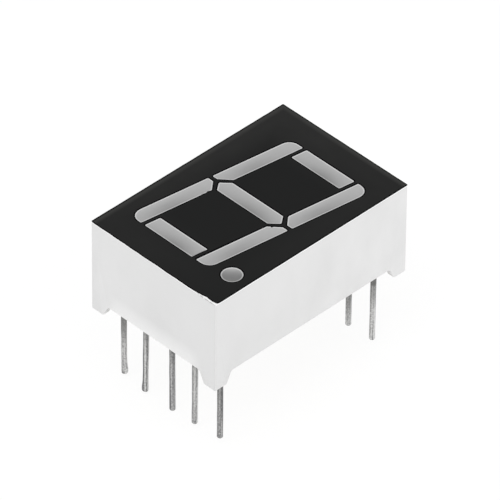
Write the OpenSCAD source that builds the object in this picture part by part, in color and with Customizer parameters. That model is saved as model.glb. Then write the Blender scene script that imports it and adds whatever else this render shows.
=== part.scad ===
// Single-digit seven segment LED display with a decimal point and ten pins in two rows.
// The origin is the centre of the seating plane, which is the underside of the four corner feet.
// +X points to the right of the digit, +Y to its top and +Z out of its face.

/* [Housing] */
// Width of the housing, across the digit
body_w = 12.6; // [12.2:0.1:16]
// Length of the housing, along the digit
body_l = 19; // [18.4:0.1:24]
// Height of the housing, from the feet to the face
body_h = 8; // [7:0.1:11]
// How far each side leans in from its rear edge to the face
side_draft = 0.01; // [0:0.01:0.15]
// Radius of the four upright edges
edge_r = 0.05; // [0.04:0.01:0.4]
// Thickness of the side walls round the circuit board
wall_t = 0.6; // [0.5:0.02:0.7]
// Width of the ledge that the circuit board seats on
ledge_w = 0.35; // [0.2:0.05:0.5]
// Thickness of the front plate between the light wells
front_t = 1; // [0.6:0.1:1.6]

/* [Feet] */
// Height of the corner feet, below the side walls
foot_h = 1; // [0.6:0.1:1.4]
// Length of a foot's underside, along either side
foot_l = 1.15; // [0.9:0.05:1.8]
// How far a foot's flank spreads on its way up to the wall
foot_flare = 0.48; // [0.2:0.02:0.8]
// Radius of the hollow where a foot's flank meets the wall
foot_fillet_r = 0.3; // [0.1:0.05:0.5]
// Radius of the lower corner of a foot's flank
foot_tip_r = 0.12; // [0.04:0.02:0.2]

/* [Face mask] */
// Thickness of the black face mask
mask_t = 0.05; // [0.03:0.01:0.15]
// Width of the bare white rim round the face mask
mask_rim = 0; // [0:0.01:0.2]
// Clearance between the mask's openings and the light wells
mask_clear = 0.04; // [0.02:0.01:0.08]

/* [Digit] */
// Height of the digit
digit_h = 14.1; // [12.6:0.1:14.6]
// Width of the digit, over its two uprights
digit_w = 8.08; // [7.2:0.02:8.4]
// Slant of the digit, in degrees
digit_slant = 8; // [0:1:9]
// Width of the three level segments
bar_w = 1.35; // [1.1:0.05:1.6]
// Width of the four upright segments
post_w = 1.25; // [1.05:0.01:1.5]
// Gap between the level segments and the uprights
post_gap = 0.37; // [0.25:0.01:0.5]
// Gap between the upper and the lower uprights
mid_gap = 0.38; // [0.2:0.02:0.5]
// How far the uprights' mitres start past the middle segment's edge
mitre_rise = 0.27; // [0.1:0.01:0.4]
// Length of the middle segment's pointed ends
point_l = 0.61; // [0.5:0.01:0.7]
// Radius of the digit's four outer corners
digit_r = 0.85; // [0.3:0.05:1]
// Radius of all other segment corners
nib_r = 0.1; // [0.04:0.01:0.2]
// Diameter of the decimal point
dot_d = 1.58; // [1.2:0.02:1.7]
// Distance from the side of the housing to the decimal point
dot_side = 0.78; // [0.6:0.02:0.9]

/* [Light wells] */
// Thickness of the funnel walls round the mouths of the wells
funnel_t = 0.42; // [0.3:0.02:0.5]
// Length of a level segment's well at the circuit board
bar_slot_l = 2.8; // [2.5:0.1:3.6]
// Length of an upright segment's well at the circuit board
post_slot_l = 3; // [2.7:0.1:4]
// Width of a segment's well at the circuit board
slot_w = 0.84; // [0.7:0.02:0.95]
// Diameter of the decimal point's well at the circuit board
dot_slot_d = 1.2; // [1.1:0.02:1.3]
// Distance from a row of pins to the nearest segment's well, at the circuit board
slot_pin_gap = 0.8; // [0.6:0.02:1]
// How far the windows lie below the mask's surface
lens_drop = 0.02; // [0:0.01:0.05]

/* [Circuit board] */
// Thickness of the circuit board
board_t = 1; // [0.8:0.1:1.6]
// Clearance between the circuit board and the walls round it
board_clear = 0.05; // [0.02:0.01:0.15]
// Thickness of the copper
copper_t = 0.035; // [0.018:0.001:0.07]
// Width of a segment's track
track_w = 0.3; // [0.2:0.02:0.4]
// Width of the common track
common_w = 0.5; // [0.3:0.05:0.6]
// Diameter of the ring of copper round each pin
ring_d = 0.98; // [0.92:0.01:1.02]
// Diameter of the plated holes
plated_hole_d = 0.7; // [0.66:0.01:0.74]

/* [Chips and wires] */
// Side of the square light-emitting chips
chip_w = 0.28; // [0.2:0.02:0.32]
// Thickness of the chips
chip_t = 0.2; // [0.12:0.02:0.3]
// Thickness of the adhesive under a chip
adhesive_t = 0.02; // [0.01:0.01:0.05]
// Diameter of the bond wires
wire_d = 0.03; // [0.02:0.002:0.04]
// Height of a bond wire's arch above its chip
wire_arch = 0.22; // [0.15:0.01:0.4]
// Reach of a segment's bond wire, from its chip to its pad
wire_reach = 0.85; // [0.7:0.05:1]
// Reach of the decimal point's bond wire
dot_wire_reach = 0.52; // [0.46:0.02:0.6]

/* [Pins] */
// Diameter of the tinned pins
pin_d = 0.45; // [0.4:0.01:0.5]
// Distance from each side of the housing to the middle of the outermost pins
pin_side = 1.22; // [1.14:0.02:2]
// Distance from each end of the housing to the middle of its row of pins
pin_end = 1.88; // [1.5:0.02:2.1]
// Length of the pins below the feet
pin_l = 6.6; // [3:0.1:12]
// Length of the taper at a pin's tip
pin_tip_l = 0.1; // [0.05:0.01:0.3]
// Thickness of the tin coat
tin_t = 0.01; // [0.005:0.001:0.02]
// Distance below the feet at which the full tin coat ends
tin_stop = 0.3; // [0.2:0.05:1]
// Length over which the tin coat thins out
tin_fade = 1.2; // [0.8:0.1:1.5]
// How far a pin stands up in front of the circuit board
pin_stub = 0.2; // [0.1:0.05:0.4]
// Clearance round a pin's stub, in the housing
stub_clear = 0.15; // [0.1:0.01:0.2]

/* [Solder] */
// Height of the solder fillet round a pin, behind the circuit board
fillet_h = 0.45; // [0.2:0.05:0.8]
// Thickness of the fillet at its tip
fillet_tip_t = 0.06; // [0.02:0.01:0.1]
// Width of bare copper left round the foot of the fillet
fillet_rim = 0.03; // [0:0.01:0.06]

/* [Potting] */
// Thickness of the resin behind the circuit board
potting_t = 1.2; // [1:0.1:1.6]
// How far the resin lies inside the rear edge of the walls
potting_inset = 0.4; // [0.1:0.1:0.8]

/* [Hidden] */
SEGMENTS = ["a", "b", "c", "d", "e", "f", "g"];
LIGHTS = concat(SEGMENTS, ["dp"]);
PIN_COUNT = 10;
PINS = [for (number = [1 : PIN_COUNT]) number];
DOT = len(SEGMENTS);

$fn = 48;
// How far a cutting shape runs past the face that it cuts
past = 0.2;
// Steps in the arc of a rounded corner
arc_steps = 6;
// Sides of a bond wire, and the steps in its arch
wire_sides = 6;
wire_steps = 10;

// Levels, from the rear to the face
potting_z = foot_h + potting_inset;
board_rear_z = potting_z + potting_t;
board_z = board_rear_z + board_t;
front_z = body_h - mask_t;
lens_z = body_h - lens_drop;
pocket_z = front_z - front_t;

// The cavity that the circuit board and the resin lie in
cavity_w = body_w - 2 * wall_t;
cavity_l = body_l - 2 * wall_t;
cavity_r = 0.4;
pocket_r = 0.25;

// Pins and the holes for them
pin_r = pin_d / 2;
wire_pin_r = pin_r - tin_t;
row_span = body_l - 2 * pin_end;
pin_pitch = (body_w - 2 * pin_side) / (PIN_COUNT / 2 - 1);
plated_hole_r = plated_hole_d / 2;
drill_r = plated_hole_r + copper_t;

// The ball at the chip's end of a bond wire
ball_h = 0.02;
ball_r = 1.5 * wire_d;

// Edges of the digit before it is slanted
half_h = digit_h / 2;
outer_u = digit_w / 2;
inner_u = outer_u - post_w;
post_u = (outer_u + inner_u) / 2;
post_y = (half_h + mid_gap / 2) / 2;
bar_y = half_h - bar_w / 2;
bar_end = inner_u - post_gap;
point_u = inner_u + post_gap;
mitre_y = bar_w / 2 + mitre_rise;
mitre = mitre_y - mid_gap / 2;
dot_r = dot_d / 2;
dot_xy = [body_w / 2 - dot_side - dot_r, -bar_y];
// Middle of the end segments' wells at the circuit board
slot_y = row_span / 2 - slot_pin_gap - slot_w / 2;
dot_slot_xy = [dot_xy.x, -slot_y];

// Corners of a segment, counter-clockwise: [across, along, radius]
top_bar = [
  [-bar_end, half_h - bar_w, nib_r], [bar_end, half_h - bar_w, nib_r],
  [bar_end, half_h, nib_r], [-bar_end, half_h, nib_r]
];
middle_bar = [
  [-point_u, 0, nib_r], [point_l - point_u, -bar_w / 2, nib_r], [point_u - point_l, -bar_w / 2, nib_r],
  [point_u, 0, nib_r], [point_u - point_l, bar_w / 2, nib_r], [point_l - point_u, bar_w / 2, nib_r]
];
upper_right_post = [
  [inner_u, mitre_y, nib_r], [inner_u + mitre, mid_gap / 2, nib_r], [outer_u, mid_gap / 2, nib_r],
  [outer_u, half_h, digit_r], [inner_u, half_h, nib_r]
];
// One row for each segment, a to g
CORNERS = [
  top_bar,
  upper_right_post,
  mirrored(upper_right_post, 1, -1),
  mirrored(top_bar, 1, -1),
  mirrored(upper_right_post, -1, -1),
  mirrored(upper_right_post, -1, 1),
  middle_bar
];
// Middle of each segment on the face and at the circuit board, and the way that its bond wire runs
MIDDLES = [
  [0, bar_y], [post_u, post_y], [post_u, -post_y], [0, -bar_y],
  [-post_u, -post_y], [-post_u, post_y], [0, 0]
];
SLOT_MIDDLES = [
  [0, slot_y], MIDDLES[1], MIDDLES[2], [0, -slot_y],
  MIDDLES[4], MIDDLES[5], MIDDLES[6]
];
WIRE_WAYS = [[1, 0], [0, 1], [0, -1], [-1, 0], [0, -1], [0, 1], [-1, 0], [1, 0]];
// Pin that drives each light, a to g and then the point; the two middle pins are the common ones
DRIVE_PINS = [7, 6, 4, 2, 1, 9, 10, 5];
COMMON_PINS = [3, 8];

function slant(point) = [point.x + point.y * tan(digit_slant), point.y];

function mirrored(corners, across, along) =
  let (flipped = [for (c = corners) [c.x * across, c.y * along, c.z]])
  across * along > 0 ? flipped : [for (i = [len(flipped) - 1 : -1 : 0]) flipped[i]];

function unit(v) = v / norm(v);

function corner_arc(before, corner, after, r) =
  let (
    back = unit(before - corner),
    ahead = unit(after - corner),
    half_angle = acos(back * ahead) / 2,
    centre = corner + unit(back + ahead) * r / sin(half_angle),
    start = corner + back * r / tan(half_angle) - centre,
    from = atan2(start.y, start.x),
    bend = ahead.x * back.y - ahead.y * back.x,
    turn = sign(bend) * (180 - 2 * half_angle)
  )
  [for (i = [0 : arc_steps])
    let (angle = from + turn * i / arc_steps)
    centre + r * [cos(angle), sin(angle)]];

// The outline through [x, y, radius] corners, with each corner rounded or, at radius 0, left sharp
function rounded(corners) =
  let (count = len(corners), points = [for (c = corners) [c.x, c.y]])
  [for (i = [0 : count - 1])
    each corners[i].z == 0
      ? [points[i]]
      : corner_arc(points[(i + count - 1) % count], points[i], points[(i + 1) % count], corners[i].z)];

function slanted(corners) = [for (c = corners) [slant(c).x, c.y, c.z]];

function ring(centre, r) = [for (i = [0 : $fn - 1]) centre + r * [cos(360 * i / $fn), sin(360 * i / $fn)]];

// The outline of a well's mouth
function mouth(light) = light == DOT ? ring(dot_xy, dot_r) : rounded(slanted(CORNERS[light]));

// The outline of a well where it meets the circuit board
function slot(light) = light == DOT ? ring(dot_slot_xy, dot_slot_d / 2) : segment_slot(light);

function is_post(segment) = abs(WIRE_WAYS[segment].y) > 0;

function segment_slot(segment) =
  let (
    middle = MIDDLES[segment],
    slot_middle = SLOT_MIDDLES[segment],
    bar_half = segment == DOT - 1 ? point_u : bar_end,
    across = is_post(segment) ? slot_w / post_w : bar_slot_l / (2 * bar_half),
    along = is_post(segment) ? post_slot_l / (half_h - mid_gap / 2) : slot_w / bar_w,
    shrink = min(across, along)
  )
  rounded(slanted([for (c = CORNERS[segment])
    [slot_middle.x + (c.x - middle.x) * across, slot_middle.y + (c.y - middle.y) * along,
      c.z * shrink]]));

function box_corners(width, length, r) = [
  [-width / 2, -length / 2, r], [width / 2, -length / 2, r],
  [width / 2, length / 2, r], [-width / 2, length / 2, r]
];

function die_xy(light) =
  light == DOT ? dot_slot_xy - [dot_wire_reach / 2, 0] : slant(SLOT_MIDDLES[light]);

function pad_xy(light) =
  light == DOT
    ? dot_slot_xy + [dot_wire_reach / 2, 0]
    : slant(SLOT_MIDDLES[light] + WIRE_WAYS[light] * wire_reach);

function pin_xy(number) =
  number <= PIN_COUNT / 2
    ? [(number - COMMON_PINS[0]) * pin_pitch, -row_span / 2]
    : [(COMMON_PINS[1] - number) * pin_pitch, row_span / 2];

// A solid through rings of points, from the lowest ring up; every ring has the same count of points
module loft(rings) {
  count = len(rings[0]);
  last = (len(rings) - 1) * count;
  polyhedron(
    points = [for (ring = rings) each ring],
    faces = concat(
      [[for (i = [0 : count - 1]) i]],
      [for (level = [0 : len(rings) - 2], i = [0 : count - 1])
        let (low = level * count, high = low + count, next = (i + 1) % count)
        each [[low + i, high + i, low + next], [low + next, high + i, high + next]]],
      [[for (i = [count - 1 : -1 : 0]) last + i]]
    )
  );
}

function at_height(outline, z) = [for (p = outline) [p.x, p.y, z]];

// The tapered space of one light well; below and above run straight on past its two ends
module light_well(light, below, above) {
  loft(concat(
    below > 0 ? [at_height(slot(light), board_z - below)] : [],
    [at_height(slot(light), board_z), at_height(mouth(light), front_z)],
    above > 0 ? [at_height(mouth(light), front_z + above)] : []
  ));
}

module plate(width, length, r, low, high) {
  translate([0, 0, low])
    linear_extrude(high - low)
      polygon(rounded(box_corners(width, length, r)));
}

// The mouths of all the wells, drawn flat
module mouths() {
  for (light = [0 : DOT]) polygon(mouth(light));
}

// The space that each well takes up on its way to its mouth, seen from above
module well_shadows() {
  for (light = [0 : DOT], share = [0 : 0.25 : 1])
    polygon(slot(light) * (1 - share) + mouth(light) * share);
}

// The open spaces between the funnels, behind the front plate
module core_pockets() {
  translate([0, 0, board_z - past])
    linear_extrude(pocket_z - board_z + past)
      offset(r = pocket_r, $fn = 24)
        offset(delta = -pocket_r)
          difference() {
            polygon(rounded(box_corners(cavity_w - 2 * ledge_w, cavity_l - 2 * ledge_w, cavity_r)));
            offset(delta = funnel_t) well_shadows();
          }
}

// The gap between the two feet of a side of the given length, seen square to that side
module foot_gap(side) {
  low = side / 2 - foot_l;
  high = low - foot_flare;
  flank_lean = atan2(foot_flare, foot_h);
  tip_end = low + foot_tip_r / tan(45 + flank_lean / 2);
  linear_extrude(body_w + body_l, center = true)
    polygon(rounded([
      [-tip_end, -past, 0], [tip_end, -past, 0], [tip_end, 0, 0],
      [low, 0, foot_tip_r], [high, foot_h, foot_fillet_r],
      [-high, foot_h, foot_fillet_r], [-low, 0, foot_tip_r],
      [-tip_end, 0, 0]
    ]));
}

module housing_blank() {
  width = body_w - 2 * side_draft;
  length = body_l - 2 * side_draft;
  loft([
    at_height(rounded(box_corners(body_w, body_l, edge_r)), 0),
    at_height(rounded(box_corners(width, length, edge_r)), front_z)
  ]);
}

module reflector_housing() {
  color("whitesmoke")
    difference() {
      housing_blank();
      plate(cavity_w, cavity_l, cavity_r, -past, board_z);
      core_pockets();
      for (light = [0 : DOT]) light_well(light, past, past);
      for (number = PINS)
        translate([pin_xy(number).x, pin_xy(number).y, board_z - past])
          cylinder(r = pin_r + stub_clear, h = past + pin_stub + stub_clear);
      rotate([90, 0, 0]) foot_gap(body_w);
      rotate([90, 0, 90]) foot_gap(body_l);
    }
}

module face_mask() {
  width = body_w - 2 * (side_draft + mask_rim);
  length = body_l - 2 * (side_draft + mask_rim);
  color([0.09, 0.09, 0.09])
    translate([0, 0, front_z])
      linear_extrude(mask_t)
        difference() {
          polygon(rounded(box_corners(width, length, edge_r)));
          offset(delta = mask_clear) mouths();
        }
}

module lens(light) {
  color("gainsboro")
    difference() {
      light_well(light, 0, lens_z - front_z);
      adhesive(light, past);
      chip_body(light, past);
      wire_body(light, past);
    }
}

// One dab of adhesive; below runs straight on past its underside
module adhesive(light, below) {
  translate([die_xy(light).x, die_xy(light).y, board_z - below])
    cylinder(d = chip_w * 1.5, h = adhesive_t + below);
}

// One chip; below runs straight on past its underside
module chip_body(light, below) {
  translate([die_xy(light).x - chip_w / 2, die_xy(light).y - chip_w / 2, board_z + adhesive_t - below])
    cube([chip_w, chip_w, chip_t + below]);
}

// A ring of points round the wire at one place on its arch, square to the way it runs
function wire_ring(at, way, along, r) =
  let (
    up = [0, 0, 1],
    forward = [way.x, way.y, 0],
    side = [way.y, -way.x, 0],
    lift = -along.y * forward + along.x * up
  )
  [for (i = [0 : wire_sides - 1])
    let (angle = 360 * i / wire_sides)
    at.x * forward + at.y * up + r * (cos(angle) * lift + sin(angle) * side)];

// A bond wire from its ball on the chip to its foot on the pad, in an arch; below sinks both of its ends
module wire_body(light, below) {
  span = norm(pad_xy(light) - die_xy(light));
  way = unit(pad_xy(light) - die_xy(light));
  chip_top = adhesive_t + chip_t;
  start = chip_top + ball_h;
  r = wire_d / 2;
  up = [0, 1];
  down = [0, -1];
  translate([die_xy(light).x, die_xy(light).y, board_z])
    loft(concat(
      [wire_ring([0, chip_top - below / 2], way, up, ball_r), wire_ring([0, start], way, up, ball_r)],
      [for (i = [0 : wire_steps])
        let (
          angle = 180 * i / wire_steps,
          at = [span * (1 - cos(angle)) / 2, start * (1 - i / wire_steps) + wire_arch * sin(angle)],
          heading = unit([span / 2 * sin(angle), wire_arch * cos(angle) - start / PI])
        )
        wire_ring(at, way, i == 0 ? up : i == wire_steps ? down : heading, r)],
      below > 0 ? [wire_ring([span, -below], way, down, r)] : []
    ));
}

module die_attach() {
  color("silver")
    for (light = [0 : DOT]) adhesive(light, 0);
}

module led_chip(light) {
  color("goldenrod") chip_body(light, 0);
}

module bond_wire(light) {
  color("gold") wire_body(light, 0);
}

// A copper track of the given width through the points of a route, drawn flat
module track(route, width) {
  for (i = [0 : len(route) - 2]) {
    run = route[i + 1] - route[i];
    translate(route[i])
      rotate(atan2(run.y, run.x))
        translate([0, -width / 2])
          square([norm(run), width]);
  }
  for (point = route) translate(point) circle(d = 1.2 * width, $fn = 24);
}

// The route of a light's own track, from its wire pad to its pin
function drive_route(light) =
  let (pad = pad_xy(light), pin = pin_xy(DRIVE_PINS[light]), name = LIGHTS[light])
  name == "b" || name == "e"
    ? [pad, [pin.x, pad.y + sign(pin.y) * abs(pin.x - pad.x)], pin]
    : name == "g" ? [pad, [pin.x, pad.y], pin] : [pad, pin];

module drive_net(light) {
  track(drive_route(light), track_w);
  translate(pad_xy(light)) circle(d = 1.4 * track_w, $fn = 24);
  translate(pin_xy(DRIVE_PINS[light])) circle(d = ring_d);
}

module common_net() {
  a = die_xy(0);
  c = die_xy(2);
  d = die_xy(3);
  dot = die_xy(DOT);
  track([for (number = COMMON_PINS) pin_xy(number)], common_w);
  track([a, [0, a.y]], track_w);
  track([d, [0, d.y]], track_w);
  track([die_xy(5), die_xy(1)], track_w);
  track([die_xy(4), c], track_w);
  track([c, [dot.x, c.y], dot], track_w);
  for (light = [0 : DOT]) translate(die_xy(light)) circle(d = 2 * chip_w);
  for (number = COMMON_PINS) translate(pin_xy(number)) circle(d = ring_d);
}

// All the copper on the front of the board, drawn flat
module front_copper() {
  common_net();
  for (light = [0 : DOT]) drive_net(light);
}

module at_pins(z) {
  for (number = PINS) translate([pin_xy(number).x, pin_xy(number).y, z]) children();
}

module copper_tracks() {
  color("peru")
    difference() {
      union() {
        translate([0, 0, board_z - copper_t]) linear_extrude(copper_t) front_copper();
        at_pins(board_rear_z) cylinder(d = ring_d, h = copper_t);
        at_pins(board_rear_z) cylinder(r = drill_r, h = board_t);
      }
      at_pins(board_rear_z - past) cylinder(r = plated_hole_r, h = board_t + 2 * past);
    }
}

module circuit_board() {
  color("darkgreen")
    difference() {
      plate(cavity_w - 2 * board_clear, cavity_l - 2 * board_clear, cavity_r, board_rear_z, board_z);
      translate([0, 0, board_z - copper_t]) linear_extrude(copper_t + past) front_copper();
      at_pins(board_rear_z - past) cylinder(d = ring_d, h = copper_t + past);
      at_pins(board_rear_z - past) cylinder(r = drill_r, h = board_t + 2 * past);
    }
}

module pin_body(number) {
  translate([pin_xy(number).x, pin_xy(number).y, 0])
    rotate_extrude()
      polygon([
        [0, -pin_l], [pin_r - pin_tip_l / 2, -pin_l], [pin_r, pin_tip_l - pin_l],
        [pin_r, -tin_stop], [wire_pin_r, tin_fade - tin_stop],
        [wire_pin_r, board_z + pin_stub], [0, board_z + pin_stub]
      ]);
}

module pin(number) {
  color("silver") pin_body(number);
}

// Solder in a pin's plated hole, with its fillet on the rear ring
module solder_body(number) {
  translate([pin_xy(number).x, pin_xy(number).y, 0])
    rotate_extrude()
      polygon([
        [wire_pin_r, board_rear_z - fillet_h], [wire_pin_r + fillet_tip_t, board_rear_z - fillet_h],
        [ring_d / 2 - fillet_rim, board_rear_z], [plated_hole_r, board_rear_z],
        [plated_hole_r, board_z], [wire_pin_r, board_z]
      ]);
}

module solder_joint(number) {
  color("lightgray") solder_body(number);
}

module rear_potting() {
  color("ivory")
    difference() {
      plate(cavity_w, cavity_l, cavity_r, potting_z, board_rear_z);
      for (number = PINS) {
        pin_body(number);
        solder_body(number);
      }
    }
}

reflector_housing();
face_mask();
for (light = [0 : DOT - 1])
  lens(light);
lens(DOT);  // decimal_point_lens
circuit_board();
copper_tracks();
die_attach();
for (light = [0 : DOT])
  led_chip(light);
for (light = [0 : DOT])
  bond_wire(light);
for (number = PINS)
  pin(number);
for (number = PINS)
  solder_joint(number);
rear_potting();
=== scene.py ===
"""Looks of a single-digit seven segment display: housing, face film, windows, leads and back resin."""

import math
from collections import namedtuple
from contextlib import contextmanager
from functools import lru_cache

import bmesh
import bpy
from bpy.props import FloatProperty, FloatVectorProperty, IntProperty, PointerProperty
from mathutils import Matrix, Vector, noise


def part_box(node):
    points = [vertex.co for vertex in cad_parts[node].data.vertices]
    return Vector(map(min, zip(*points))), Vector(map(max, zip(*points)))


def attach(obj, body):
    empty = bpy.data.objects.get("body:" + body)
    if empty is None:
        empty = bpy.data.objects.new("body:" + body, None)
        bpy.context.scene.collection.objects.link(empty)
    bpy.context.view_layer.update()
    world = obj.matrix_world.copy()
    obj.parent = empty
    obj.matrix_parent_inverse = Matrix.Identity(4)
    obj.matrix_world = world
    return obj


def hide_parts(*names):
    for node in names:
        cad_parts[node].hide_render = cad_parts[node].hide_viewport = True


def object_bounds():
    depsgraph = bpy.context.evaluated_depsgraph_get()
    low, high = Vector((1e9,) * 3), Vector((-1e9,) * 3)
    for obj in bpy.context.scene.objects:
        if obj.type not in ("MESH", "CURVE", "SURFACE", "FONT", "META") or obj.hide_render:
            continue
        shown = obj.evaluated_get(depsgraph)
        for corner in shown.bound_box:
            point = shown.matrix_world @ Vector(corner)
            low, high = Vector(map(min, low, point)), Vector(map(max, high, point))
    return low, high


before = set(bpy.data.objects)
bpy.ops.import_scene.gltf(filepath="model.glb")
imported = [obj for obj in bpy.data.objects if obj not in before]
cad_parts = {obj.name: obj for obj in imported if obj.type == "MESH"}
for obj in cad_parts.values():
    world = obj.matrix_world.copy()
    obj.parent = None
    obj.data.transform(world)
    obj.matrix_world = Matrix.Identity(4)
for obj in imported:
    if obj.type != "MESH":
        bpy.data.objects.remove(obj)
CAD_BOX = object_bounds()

bl_info = {
    "name": "Seven Segment Display",
    "version": (1, 0, 0),
    "blender": (4, 5, 0),
    "location": "3D View > Sidebar > Display",
    "description": "Builds the pieces and finishes of a seven segment display on its frame",
    "category": "Object",
}

MM = 0.001
WHITE = (1.0, 1.0, 1.0, 1.0)
SEGMENTS = "abcdefg"
LEVEL_SEGMENTS = "adg"
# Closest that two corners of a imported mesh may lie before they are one
MERGE_DISTANCE = 0.0001 * MM
FLAT_ANGLE = math.radians(0.4)
SMOOTH_ANGLE = math.radians(35)
# The level way in which the leads lean and swell, and along which their tin changes
ASIDE = Vector((1.0, 1.0, 0.0)).normalized()
# No two leads are alike: how far each one stands aside at its root and at its tip, how much longer it is than
# drawn, and how much it swells with tin just above its tip, in millimetres, where less than 0 is the other
# way; how bright its tin is, partly as painted reflection, how dark the painted shadow under the housing
# makes its root, and how many millimetres down that painted shadow reaches
LeadForm = namedtuple("LeadForm", "root tip longer swell shine flux down")
LEAD_FORMS = (
    LeadForm(0.055, 0.08, -0.07, 0.06, 0.45, 0.6, 4.4),
    LeadForm(-0.085, -0.15, 0.04, -0.06, 0.68, 0.45, 3.4),
    LeadForm(-0.01, 0.02, 0.24, 0.0, 0.21, 0.45, 3.4),
    LeadForm(-0.135, -0.155, -0.12, 0.0, 0.79, 0.27, 4.0),
    LeadForm(-0.12, -0.13, -0.38, 0.0, 0.23, 0.46, 3.9),
    LeadForm(-0.085, -0.095, -0.5, 0.0, 1.1, 0.55, 3.8),
    LeadForm(0.0, -0.01, -0.28, 0.0, 1.05, 0.6, 6.0),
    LeadForm(0.05, 0.08, -0.35, 0.0, 0.5, 0.5, 4.0),
    LeadForm(-0.04, -0.02, -0.2, 0.0, 0.57, 0.4, 3.6),
    LeadForm(0.03, -0.05, 0.0, -0.04, 0.42, 0.5, 4.2),
)
# Flaws of the printing along the openings, in millimetres: where each one lies, its reach along the edge, and
# how far it pushes the edges that face its way
Flaw = namedtuple("Flaw", "x y reach push_x push_y")
FLAWS = (
    Flaw(-2.98, -1.25, 0.12, -0.08, 0.0),
    Flaw(-3.06, -1.72, 0.1, -0.05, 0.0),
    Flaw(2.91, -0.68, 0.06, 0.07, -0.07),
    Flaw(1.56, -6.39, 1.1, -0.07, 0.01),
)
# How often the film's edges are cut: those over the first length and up to the second, in millimetres
LIP_CUTS = ((0.4, 3.0, 9), (3.0, 10.0, 60), (10.0, 30.0, 120))


@lru_cache(maxsize=None)
def node_box(node):
    """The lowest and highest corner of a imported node, which never moves."""
    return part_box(node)


def add_object(name, data):
    """A new object in the scene, at the origin."""
    made = bpy.data.objects.new(name, data)
    bpy.context.scene.collection.objects.link(made)
    return made


# Sizes and colours


def length(name, description, millimetres, low=0.0, high=100.0):
    """A length property; it is written in millimetres and kept in metres."""
    return FloatProperty(
        name=name,
        description=description,
        default=millimetres * MM,
        min=low * MM,
        max=high * MM,
        precision=6,
        unit="LENGTH",
    )


def share(name, description, default, high=1.0):
    return FloatProperty(
        name=name, description=description, default=default, min=0.0, max=high, subtype="FACTOR"
    )


def power(name, description, watts):
    return FloatProperty(name=name, description=description, default=watts, min=0.0, subtype="POWER")


def angle(name, description, degrees):
    return FloatProperty(
        name=name, description=description, default=math.radians(degrees), subtype="ANGLE", unit="ROTATION"
    )


def colour(name, description, red, green, blue):
    return FloatVectorProperty(
        name=name,
        description=description,
        default=(red, green, blue),
        min=0.0,
        max=1.0,
        subtype="COLOR",
    )


class HousingSettings(bpy.types.PropertyGroup):
    """Sizes and colours of the moulded housing."""

    rim_radius: length("Rim radius", "Rounding of the edge round the face", 0.008)
    # Painted highlight: the bright strip under the face stands for light caught by the rounded rim
    bright_rim: length("Bright rim", "Height of the burnished strip under the face", 0.09)
    foot_radius: length("Foot radius", "Rounding of the edges of the feet and walls", 0.04)
    smear: length("Smear", "Height of the ink smeared below the worn corner of the face", 0.09)
    # Painted light: how high up the end walls are painted lighter, as if lit from below
    underlight_height: length("Glow height", "How high up the end walls light shows through them", 2.6)
    plastic: colour("Plastic", "Colour of the moulded plastic under the face", 0.802, 0.802, 0.802)
    # Painted light: the plastic is painted paler low down and at the far end, where the light falls
    lit_plastic: colour("Pale plastic", "Colour of the plastic low at the far end", 0.92, 0.92, 0.92)
    flow_line: colour("Flow line", "Colour of faint flow marks in the plastic", 0.80, 0.80, 0.80)
    # Painted light: the white of the highlight under the face and of the lit lower end walls
    painted_light: colour("Burnished", "Colour of the burnished strip and of the glow", 1.0, 1.0, 1.0)
    # The ink colour also paints a faint shade along the near upright corner
    ink: colour("Ink", "Colour of the smeared ink", 0.16, 0.17, 0.16)
    grain: length("Grain", "Width of the fine grain that the mould leaves", 0.06)


class FilmSettings(bpy.types.PropertyGroup):
    """Sizes and colours of the black face film."""

    # The lip along every edge of the film carries painted shade
    lip_width: length("Lip width", "Width of the darker lip along every edge of the film", 0.085)
    spread: length("Spread", "How far the ink has spread into the openings and over the top edge", 0.022)
    left_spread: length("Left spread", "How far the ink has spread over the left edge", 0.05)
    ragged: length("Ragged", "Depth of the raggedness along the lower edge", 0.05)
    corner_wear: length("Corner wear", "How far the film has drawn back at the lower right corner", 0.15)
    rubbed_band: length("Rubbed band", "Width of the rubbed band along the top and the left", 0.5)
    face: colour("Face", "Colour of the film", 0.0155, 0.0158, 0.0158)
    haze: colour("Haze", "Colour of the film where handling has dulled it", 0.0275, 0.0275, 0.027)
    # Painted shade along the film's edges
    lip: colour("Lip", "Colour of the lip", 0.0003, 0.0003, 0.0004)
    rubbed: colour("Rubbed", "Colour of the film at its most rubbed", 0.06, 0.06, 0.0575)


class WindowSettings(bpy.types.PropertyGroup):
    """Sizes and colours of the milky resin windows."""

    slant: angle("Slant", "Slant of the digit", 8.0)
    rim_width: length("Rim width", "Width of the resin's bright rim", 0.1)
    dish: length("Dish", "How far the middle of a window is dished", 0.015)
    rim: colour("Rim", "Colour of the bright rim, where the white well shows through", 0.66, 0.66, 0.66)
    milky: colour("Milky", "Colour of the resin where it is thin and bright", 0.46, 0.46, 0.46)
    # Painted shade: the resin over the chip, partly the chip's own dark and partly the shaded well
    deep: colour("Deep", "Colour of the resin over its chip", 0.245, 0.245, 0.245)
    dot_milky: colour("Dot milky", "Colour of the decimal point's bright side", 0.50, 0.50, 0.50)
    # Painted shade of the decimal point, as for the segments
    dot_deep: colour("Dot deep", "Colour of the decimal point's deep side", 0.19, 0.19, 0.19)


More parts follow.
